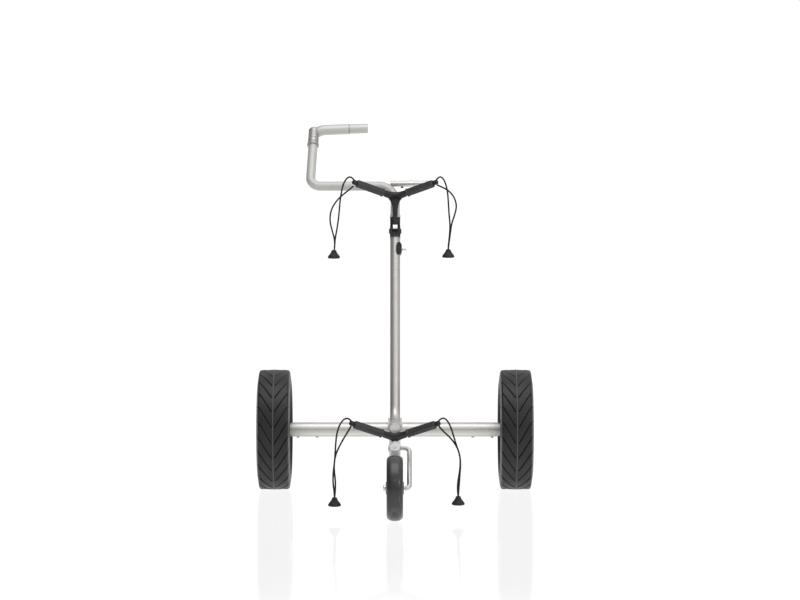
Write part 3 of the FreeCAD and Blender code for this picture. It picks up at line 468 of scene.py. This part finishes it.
# ---- Swivel sleeve ----
# A grooved silver sleeve that turns on the riser with the grip, with a small black plug in its rounded top;
# the silver lock ring below it flares over the riser.

sleeve_satin = grained("sleeve_satin", (0.40, 0.39, 0.38), 0.48, 1.0, 700.0, 0.00005, tint=0.06)
dress(sleeve_satin, "joint_sleeve", "lock_ring")
sleeve_reach = 0.0438      # from the swivel's middle to the sleeve's top
plug_r = 0.0068
joint_at = {joint["name"]: joint for joint in frame["record"]["behaviour"]["joints"]}
swivel = joint_at["grip_swivel"]
swivel_dir = np.array(swivel["axis"], float)
swivel_dir /= np.linalg.norm(swivel_dir)
sleeve_top = np.array(swivel["pos_m"]) + sleeve_reach * swivel_dir
plug_finish = grained("plug_plastic", (0.03, 0.03, 0.032), 0.35, 0.0, 700.0, 0.00005, specular=0.3)
plug_outline = turned_line([(-0.002, 0.0), (-0.002, plug_r), (0.0014, plug_r), (0.0024, 0.0)],
                           [0.0002, 0.0012])
skin_piece("sleeve_plug", [spun(plug_outline, sleeve_top, swivel_dir, 40)], plug_finish, "hand_grip")


# ---- Accessory tube ----
# Straight alloy stub welded across the upper tube's bend, open at its free end for an umbrella or card
# holder's peg, which a black screw clamps. A thin polished collar marks the seat.

dark_casting = grained("dark_casting", (0.013, 0.013, 0.014), 0.45, 0.0, 900.0, 0.00012, tint=0.2,
                       specular=0.28)
dress(dark_casting, "accessory_screw")
dress(bright, "accessory_collar")
spare_r = 0.0074
peg_bore_r = 0.0056
peg_bore_depth = 0.050
spare_start = -0.012       # hidden inside the upper tube
spare_low, spare_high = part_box("accessory_tube")
spare_end = spare_high[0]
bore_end = spare_end - peg_bore_depth
spare_at = (0.0, (spare_low[1] + spare_high[1]) / 2, spare_high[2] - spare_r)
spare_line = turned_line([(spare_start, 0.0), (spare_start, spare_r), (spare_end, spare_r),
                          (spare_end, peg_bore_r), (bore_end, peg_bore_r), (bore_end, 0.0)],
                         [0.0005, 0.0008, 0.0005, 0.0005])
skin_piece("accessory_peg_tube", [spun(spare_line, spare_at, (1, 0, 0), 72)], satin, "folding_handle",
           replaced=("accessory_tube",))


# ---- Bag cradles ----
# Each cradle is one die-cast aluminium V, painted black, whose throat is a smooth curve between the arms and
# flows into a narrow stem. Ribbed rubber pads are pushed over the arms, with a lip at their inner ends.

across_x = np.array((1.0, 0.0, 0.0))
arm_run = np.array((0.105, -0.042, 0.041))     # from the throat's middle to the right arm's tip
arm_reach = float(np.linalg.norm(arm_run))
arm_climb = math.hypot(arm_run[1], arm_run[2])
cradle_up = np.array((0.0, arm_run[1], arm_run[2])) / arm_climb
cradle_normal = np.array((0.0, arm_run[2], -arm_run[1])) / arm_climb
arm_slope = arm_climb / arm_run[0]
pad_from = 0.033           # along the arm
pad_to = arm_reach - 0.0115
pad_width = 0.016
pad_depth = 0.0155
pad_ribs = 44
pad_rib_share = 0.022      # a groove's depth as a share of the pad's half width
lip_width = 1.16           # the lip's size as a share of the pad's
lip_depth = 1.07
bowl_low = 0.0149          # the throat's top edge above the arms' meeting point
bowl_rise = 0.0104
bowl_half = 0.0288
arm_under = 0.0092         # the arm's underside below its line
throat_end = 0.0300
throat_half_depth = 0.0055
throat_low = -0.0095
stem_half = 0.006
fillet_to = 0.024


def section_loop(wide, tall, power, count):
    """Closed loop |x / wide| ** power + |y / tall| ** power = 1, evenly spaced along its length; returns
    (count, 2)."""
    t = np.linspace(0, 2 * np.pi, 2001)
    x = wide * np.sign(np.cos(t)) * np.abs(np.cos(t)) ** (2 / power)
    y = tall * np.sign(np.sin(t)) * np.abs(np.sin(t)) ** (2 / power)
    run = np.concatenate([[0], np.cumsum(np.hypot(np.diff(x), np.diff(y)))])
    at = np.linspace(0, run[-1], count, endpoint=False)
    return np.stack([np.interp(at, run, x), np.interp(at, run, y)], 1)


def cradle_throat(joint):
    """Grid over the casting between the pads. At each x the section spans from the lower edge, a fillet out
    of the stem that turns into the arm's underside, up to the top edge, a shallow bowl."""
    x = np.linspace(-throat_end, throat_end, 141)
    off = np.abs(x)
    top = bowl_low + bowl_rise * (off / bowl_half) ** 2.0
    arm_low = arm_slope * off - arm_under
    t = np.clip((off - stem_half) / (fillet_to - stem_half), 0, 1)
    line = arm_slope * (fillet_to - stem_half)
    bulge = arm_slope * fillet_to - arm_under - throat_low - line
    fillet = throat_low + bulge * np.sqrt(1 - (1 - t) ** 2) + line * t
    low = np.where(off > fillet_to, arm_low, fillet)
    loop = section_loop(1.0, 1.0, 6.0, 56)
    shrink = 1 - 0.25 * np.clip((off - throat_end + 0.002) / 0.002, 0, 1)
    middle = (top + low) / 2
    half = (top - low) / 2 * shrink
    up = middle[:, None] + half[:, None] * loop[None, :, 0]
    out = (throat_half_depth * shrink)[:, None] * loop[None, :, 1]
    return joint + x[:, None, None] * across_x + up[..., None] * cradle_up + out[..., None] * cradle_normal


def bar_between(start, end, side, halves, power=5.0, count=40):
    """Grid over a straight bar. halves holds (share of the length, half width along side, half depth)."""
    start, end, side = (np.array(value, float) for value in (start, end, side))
    along = (end - start) / np.linalg.norm(end - start)
    deep = np.cross(along, side)
    loop = section_loop(1.0, 1.0, power, count)
    share, wide, tall = np.array(halves).T
    centre = start + share[:, None] * (end - start)
    return (centre[:, None, :] + (wide[:, None] * loop[None, :, 0])[..., None] * side
            + (tall[:, None] * loop[None, :, 1])[..., None] * deep)


def pad_skin(joint, sign):
    """Grid over a pad: an evenly ribbed rounded box along the arm with a lip round its inner end."""
    along = arm_run * (sign, 1.0, 1.0) / arm_reach
    across = np.cross(cradle_normal, along) * sign
    if across[2] < 0:
        across = -across
    at = np.array([0, 0.0006, 0.0016, 0.0034, 0.0042, 0.0052, 0.012, 0.024, 0.036, 0.048, 0.060, 0.0715,
                   0.0737, 0.0750, 0.0756])
    at = at * (pad_to - pad_from) / at[-1]
    lip = np.array([0.86, 0.97, 1.0, 1.0, 0.97, 0.0, 0, 0, 0, 0, 0, 0, 0, 0, 0])
    body = np.array([0, 0, 0, 0, 0, 1.0, 1.0, 1.0, 1.0, 1.0, 1.0, 1.0, 0.97, 0.90, 0.80])
    wide = pad_width / 2 * (lip_width * lip + body)
    deep = pad_depth / 2 * (lip_depth * lip + body)
    count = 6 * pad_ribs
    loop = section_loop(1.0, 1.0, 5.0, count)
    wave = 0.5 - 0.5 * np.cos(np.arange(count) * 2 * np.pi / 6)
    ribs = 1 - pad_rib_share * wave * (body[:, None] == 1.0)
    place = joint + (pad_from + at)[:, None, None] * along
    return (place + (wide[:, None] * loop[None, :, 0] * ribs)[..., None] * across
            + (deep[:, None] * loop[None, :, 1] * ribs)[..., None] * cradle_normal)


hinge = np.array(joint_at["handle_fold"]["pos_m"])
lean = math.radians(22.0)                      # of the main tube, back from upright
tube_up = np.array((0.0, math.sin(lean), math.cos(lean)))
tube_back = np.array((0.0, math.cos(lean), -math.sin(lean)))
stem_halves = [(0.0, 0.0185, 0.0040), (0.05, 0.0155, 0.0040), (0.12, 0.0120, 0.0040), (0.20, 0.0093, 0.0040),
               (0.29, 0.0075, 0.0040), (0.40, 0.0063, 0.0040), (0.55, 0.0060, 0.0040), (0.74, 0.0056, 0.0040),
               (0.9, 0.0036, 0.0040), (1.0, 0.0030, 0.0040)]
tab_halves = [(0.0, 0.0055, 0.0025), (0.05, 0.006, 0.003), (0.95, 0.006, 0.003), (1.0, 0.0055, 0.0025)]
stub_halves = [(0.0, 0.016, 0.0035), (0.2, 0.0135, 0.0035), (0.45, 0.0106, 0.0035), (0.7, 0.0083, 0.0035),
               (0.9, 0.0070, 0.0035), (1.0, 0.0064, 0.0030)]
pad_rubber = grained("pad_rubber", (0.022, 0.022, 0.023), 0.5, 0.0, 800.0, 0.0003, tint=0.3, specular=0.45)
for cradle in ("upper", "lower"):
    pad_middle = box_middle(cradle + "_right_pad")
    joint = pad_middle - arm_run / arm_run[0] * pad_middle[0]
    if cradle == "upper":
        stem = bar_between(joint - 0.002 * cradle_up, hinge + 0.001 * tube_up - 0.035 * tube_back, across_x,
                           stem_halves)
        tab = bar_between(hinge - 0.008 * tube_up - 0.034 * tube_back,
                          hinge + 0.006 * tube_up - 0.034 * tube_back, across_x, tab_halves)
        extras = [stem, tab]
    else:
        extras = [bar_between(joint + (0, 0.0035, 0.005), joint + (0, 0.0035, -0.0078), across_x,
                              stub_halves)]
    skin_piece(cradle + "_cradle", [cradle_throat(joint)] + extras, dark_casting, "frame",
               replaced=(cradle + "_bracket",), sharp=40.0)
    for side, sign in (("left", -1), ("right", 1)):
        skin_piece(f"{cradle}_{side}_ribbed_pad", [pad_skin(joint, sign)], pad_rubber, "frame",
                   replaced=(f"{cradle}_{side}_pad",), sharp=40.0)
dress(dark_casting, "upper_cord_anchors", "lower_cord_anchors")


# ---- Fold hinge and latch ----
# Black die-cast yoke and knuckle on a blacked steel pin, with two black screws in the yoke's face, a pale
# clip that holds the cradle's tab, and a sprung push latch in a faceted housing on the main tube's side.

dress(dark_casting, "hinge_yoke", "hinge_knuckle", "latch_housing", "hinge_pin", "yoke_screws")
pale_steel = grained("pale_steel", (0.80, 0.80, 0.79), 0.3, 0.6, 500.0, 0.00002, tint=0.03)
dress(pale_steel, "latch_plunger")
dress(bright, "latch_spring")
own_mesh(nodes["latch_spring"])

skirt_r = 0.0124
skirt_length = 0.0040
skirt_base = hinge - 0.014 * tube_back + 0.0104 * tube_up
skirt_line = turned_line([(0.0, 0.0), (0.0, skirt_r), (skirt_length, skirt_r), (skirt_length, 0.0)],
                         [0.0005, 0.0002])
skin_piece("knuckle_skirt", [spun(skirt_line, skirt_base, tube_up, 48)], dark_casting, "folding_handle",
           sharp=40.0)

clip_half_height = 0.0050
clip_half_depth = 0.0020
clip_groove_share = 0.22
clip_groove_half = 0.0006
clip_loop = section_loop(clip_half_height, clip_half_depth, 2.4, 48)
clip_groove = 1 - clip_groove_share * np.exp(-(clip_loop[:, 0] / clip_groove_half) ** 2)
clip_x = np.array([-0.0056, -0.0053, -0.0045, 0.0045, 0.0053, 0.0056])
clip_shrink = np.array([0.8, 0.97, 1.0, 1.0, 0.97, 0.8])
clip_points = (box_middle("bracket_clip") + clip_x[:, None, None] * across_x
               + (clip_shrink[:, None] * clip_loop[None, :, 0])[..., None] * tube_up
               + (clip_shrink[:, None] * (clip_loop[:, 1] * clip_groove)[None, :])[..., None] * tube_back)
skin_piece("cradle_clip", [clip_points], pale_steel, "frame", replaced=("bracket_clip",),
           sharp=40.0)


# ---- Front head, clamp knob and arm ----
# Bead-blasted silver casting on the end of the lower tube, with a raised disc on its face and a white-metal
# knob that clamps the bent rod of the front arm.

silver_casting = grained("silver_casting", (0.66, 0.65, 0.63), 0.42, 1.0, 900.0, 0.00006, tint=0.05)
dress(silver_casting, "front_head", "arm_retaining_ring")
dress(satin, "front_arm")
dress(bright, "front_axle_nut")
knob_finish = grained("knob_metal", (0.85, 0.85, 0.85), 0.35, 0.3, 500.0, 0.00002, tint=0.02)
dress(knob_finish, "head_knob")
disc_r = 0.0120
disc_rise = 0.0012
disc_floor = 0.0008        # inside the disc's rim
rim_inside = 0.0104
head_r = 0.013
head_low, head_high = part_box("front_head")
disc_line = turned_line([(0.0, 0.0), (0.0, disc_r), (disc_rise, disc_r), (disc_rise, rim_inside),
                         (disc_floor, rim_inside - 0.0004), (disc_floor, 0.0)],
                        [0.0003, 0.0004, 0.0004, 0.0002])
disc_at = (0.0, head_low[1] + 0.0002, head_high[2] - head_r)
skin_piece("head_end_disc", [spun(disc_line, disc_at, (0, -1, 0), 64)], silver_casting, "frame")


# ---- Rear tyres ----
# Moulded rubber casing, 295 mm over the tread: a thin centre rib that meets the ground, and swept tread bars
# parted by narrow grooves that rise from the rib to the shoulders. Snaps over the rim's flanges.

tyre_rubber = grained("tyre_rubber", (0.012, 0.012, 0.0125), 0.42, 0.0, 500.0, 0.00015, tint=0.15,
                      specular=0.32)
rib_rubber = grained("rib_rubber", (0.07, 0.07, 0.07), 0.5, 0.0, 500.0, 0.0001, tint=0.15, specular=0.4)
tread_pitches = 24
tread_steps = 26           # points to a pitch
tread_lean = 1.7           # how far a groove runs round the tyre for each metre across it
groove_depth = 0.0026
groove_half = 0.055        # of a pitch
groove_ramp = 0.02
bar_tilt = 0.0010          # how much one edge of a tread bar stands above the other
rib_clear = 0.0032         # where the grooves begin, from the rib's middle
shoulder_drop = 0.0024
side_bulge = 0.004         # of the sidewall beyond the tread
side_taper = 0.004         # of the sidewall inside the tread's edge, near the bead
rib_half = 0.0011
bead_half = 0.029


def tyre_points(middle, radius, half_width, bead_radius):
    """Tyre skin as a function of angle and distance round its section. The section is a nearly flat crown,
    tight shoulders and bulged sidewalls down to the beads; grooves cut in where the angle, less a lean that
    grows with the distance from the rib, passes each pitch line."""
    edge = radius - shoulder_drop
    outline = rounded_outline([(0.0, radius - 0.0014), (half_width * 0.5, radius - 0.0016),
                               (half_width * 0.93, edge), (half_width, edge - 0.0045),
                               (half_width + side_bulge, bead_radius + 0.018),
                               (half_width - side_taper, bead_radius + 0.012),
                               (bead_half, bead_radius + 0.001), (bead_half, bead_radius - 0.001),
                               (0.0, bead_radius - 0.001)],
                              [0.01, 0.0025, 0.002, 0.004, 0.004, 0.002, 0.0004], 9)
    gaps = np.linalg.norm(np.diff(outline, axis=0), axis=1)
    reach = np.concatenate([[0], np.cumsum(gaps)])
    tread_end = half_width * 1.02
    fine = np.linspace(0, tread_end, 44)
    coarse = np.linspace(tread_end, reach[-1], 36)[1:]
    at = np.concatenate([fine, coarse])
    side = np.stack([np.interp(at, reach, outline[:, 0]), np.interp(at, reach, outline[:, 1])], 1)
    mirrored = side[::-1] * (-1, 1)
    section = np.vstack([mirrored[1:-1], side])
    across = section[:, 0][:, None]
    base = section[:, 1][:, None]
    angle = np.linspace(0, 2 * np.pi, tread_pitches * tread_steps, endpoint=False)[None, :]
    off = np.abs(across)
    phase = (angle - tread_lean * off / radius) * tread_pitches / (2 * np.pi)
    phase = phase - np.floor(phase)
    groove = np.clip((groove_half - np.abs(phase - 0.5)) / groove_ramp, 0, 1)
    groove = groove * groove * (3 - 2 * groove)
    on_tread = (base > bead_radius + 0.03) * np.clip((off - rib_clear) / 0.0012, 0, 1)
    bar = bar_tilt * (phase - 0.5 - np.sign(phase - 0.5) * 0.5) * on_tread
    out = base - groove_depth * groove * on_tread + bar
    return middle + np.stack([across + 0 * angle, -out * np.cos(angle), out * np.sin(angle)], -1)


for side in ("left", "right"):
    low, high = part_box(side + "_tyre")
    rim_low, rim_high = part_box(side + "_rim")
    middle = box_middle(side + "_tyre")
    crest = (high[2] - low[2]) / 2
    points = tyre_points(middle, crest, (high[0] - low[0]) / 2, (rim_high[2] - rim_low[2]) / 2 + 0.0005)
    skin_piece(side + "_tread_tyre", [points], tyre_rubber, side + "_wheel", ring=True,
               replaced=(side + "_tyre",), sharp=60.0)
    rib_line = rounded_outline([(-rib_half, crest - 0.003), (-rib_half, crest - 0.0004), (0.0, crest),
                                (rib_half, crest - 0.0004), (rib_half, crest - 0.003)],
                               [0.0004, 0.0006, 0.0004])
    skin_piece(side + "_centre_rib", [spun(rib_line, middle, (1, 0, 0), 240)], rib_rubber, side + "_wheel",
               ring=True)


# ---- Rear rims ----
# Black nylon barrel with a rolled flange at each edge, moulded round a silver-painted hub with six waisted
# spokes and two ball bearings. The black hub cap has a quick-release button in its middle.

barrel_black = grained("barrel_nylon", (0.018, 0.018, 0.019), 0.5, 0.0, 700.0, 0.0001, specular=0.35)
spoke_silver = grained("spoke_silver", (0.48, 0.48, 0.48), 0.38, 0.7, 900.0, 0.00005, tint=0.06)
cap_plastic = grained("cap_plastic", (0.02, 0.02, 0.022), 0.35, 0.0, 700.0, 0.00005, specular=0.4)
hub_r = 0.024
hub_bore_r = 0.0085
flange_out = 0.0288
flange_in = 0.024
flange_t = 0.006
barrel_t = 0.0035
tyre_gap = 0.0002
spokes_each = 6
spoke_halves = [(0.0, 0.0115, 0.0055), (0.12, 0.0105, 0.005), (0.3, 0.0088, 0.0043), (0.6, 0.0082, 0.0040),
                (0.85, 0.0090, 0.0043), (1.0, 0.0105, 0.0050)]
for side, sign in (("left", -1), ("right", 1)):
    low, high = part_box(side + "_rim")
    middle = box_middle(side + "_rim")
    middle[0] = box_middle(side + "_tyre")[0]
    out = sign * across_x
    seat = (high[2] - low[2]) / 2
    outer = seat - tyre_gap
    lip = seat - flange_t
    inner = seat - barrel_t
    barrel = rounded_outline([(0.0, outer), (flange_in, outer), (flange_out, outer), (flange_out, lip),
                              (flange_in, inner), (0.0, inner), (-flange_in, inner), (-flange_out, lip),
                              (-flange_out, outer), (-flange_in, outer), (-0.001, outer)],
                             [0.001, 0.001, 0.0015, 0.002, 0.003, 0.003, 0.002, 0.0015, 0.001])
    skin_piece(side + "_barrel", [spun(barrel, middle, out, 144)], barrel_black, side + "_wheel", ring=True,
               replaced=(side + "_rim",))
    cap_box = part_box(side + "_hub_cap")
    hub_in = (low[0] if sign > 0 else high[0]) * sign - middle[0] * sign
    hub_out = (cap_box[0][0] if sign > 0 else cap_box[1][0]) * sign - middle[0] * sign
    hub_line = rounded_outline([(hub_in, hub_bore_r), (hub_in, hub_r - 0.003), (hub_in + 0.004, hub_r),
                                (hub_out - 0.003, hub_r), (hub_out, hub_r - 0.003), (hub_out, hub_bore_r)],
                               [0.001, 0.003, 0.003, 0.001])
    skin_piece(side + "_hub", [spun(hub_line, middle, out, 96)], spoke_silver, side + "_wheel", ring=True)
    spokes = []
    for number in range(spokes_each):
        turn = 2 * np.pi * number / spokes_each
        away = np.array((0.0, math.cos(turn), math.sin(turn)))
        spokes.append(bar_between(middle + away * (hub_r - 0.002), middle + away * (seat - 0.003),
                                  np.cross(out, away), spoke_halves, 3.5, 36))
    skin_piece(side + "_spokes", spokes, spoke_silver, side + "_wheel", sharp=40.0)
    dress(cap_plastic, side + "_hub_cap", side + "_release_button")
    dress(bright, side + "_bearings")


# ---- Front wheel ----
# Solid black polyurethane tyre with a glossy, rounded tread on a black disc wheel with two ball bearings,
# carried on the bent arm.

front_rubber = grained("front_tyre_gloss", (0.013, 0.013, 0.0135), 0.34, 0.0, 400.0, 0.0001, tint=0.12,
                       rough_swing=0.05, coat=0.25)
dress(barrel_black, "front_rim")
dress(bright, "front_bearings")
low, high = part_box("front_tyre")
front_r = (high[2] - low[2]) / 2
front_half = (high[0] - low[0]) / 2
front_inner = 0.045
seat_half = 0.0155
front_side = [(0.0, front_inner), (seat_half, front_inner), (seat_half, 0.051), (front_half - 0.0006, 0.056),
              (front_half, 0.064), (front_half - 0.0012, front_r - 0.0065), (0.011, front_r - 0.0014)]
front_mirror = [(-x, radius) for x, radius in front_side[:0:-1]]
front_line = rounded_outline(front_side + [(0.0, front_r)] + front_mirror + [(-0.001, front_inner)],
                             [0.0004, 0.002, 0.004, 0.006, 0.004, 0.006, 0.012,
                              0.006, 0.004, 0.006, 0.004, 0.002, 0.0004], 6)
skin_piece("front_solid_tyre", [spun(front_line, box_middle("front_tyre"), (1, 0, 0), 160)], front_rubber,
           "front_wheel", ring=True, replaced=("front_tyre",))
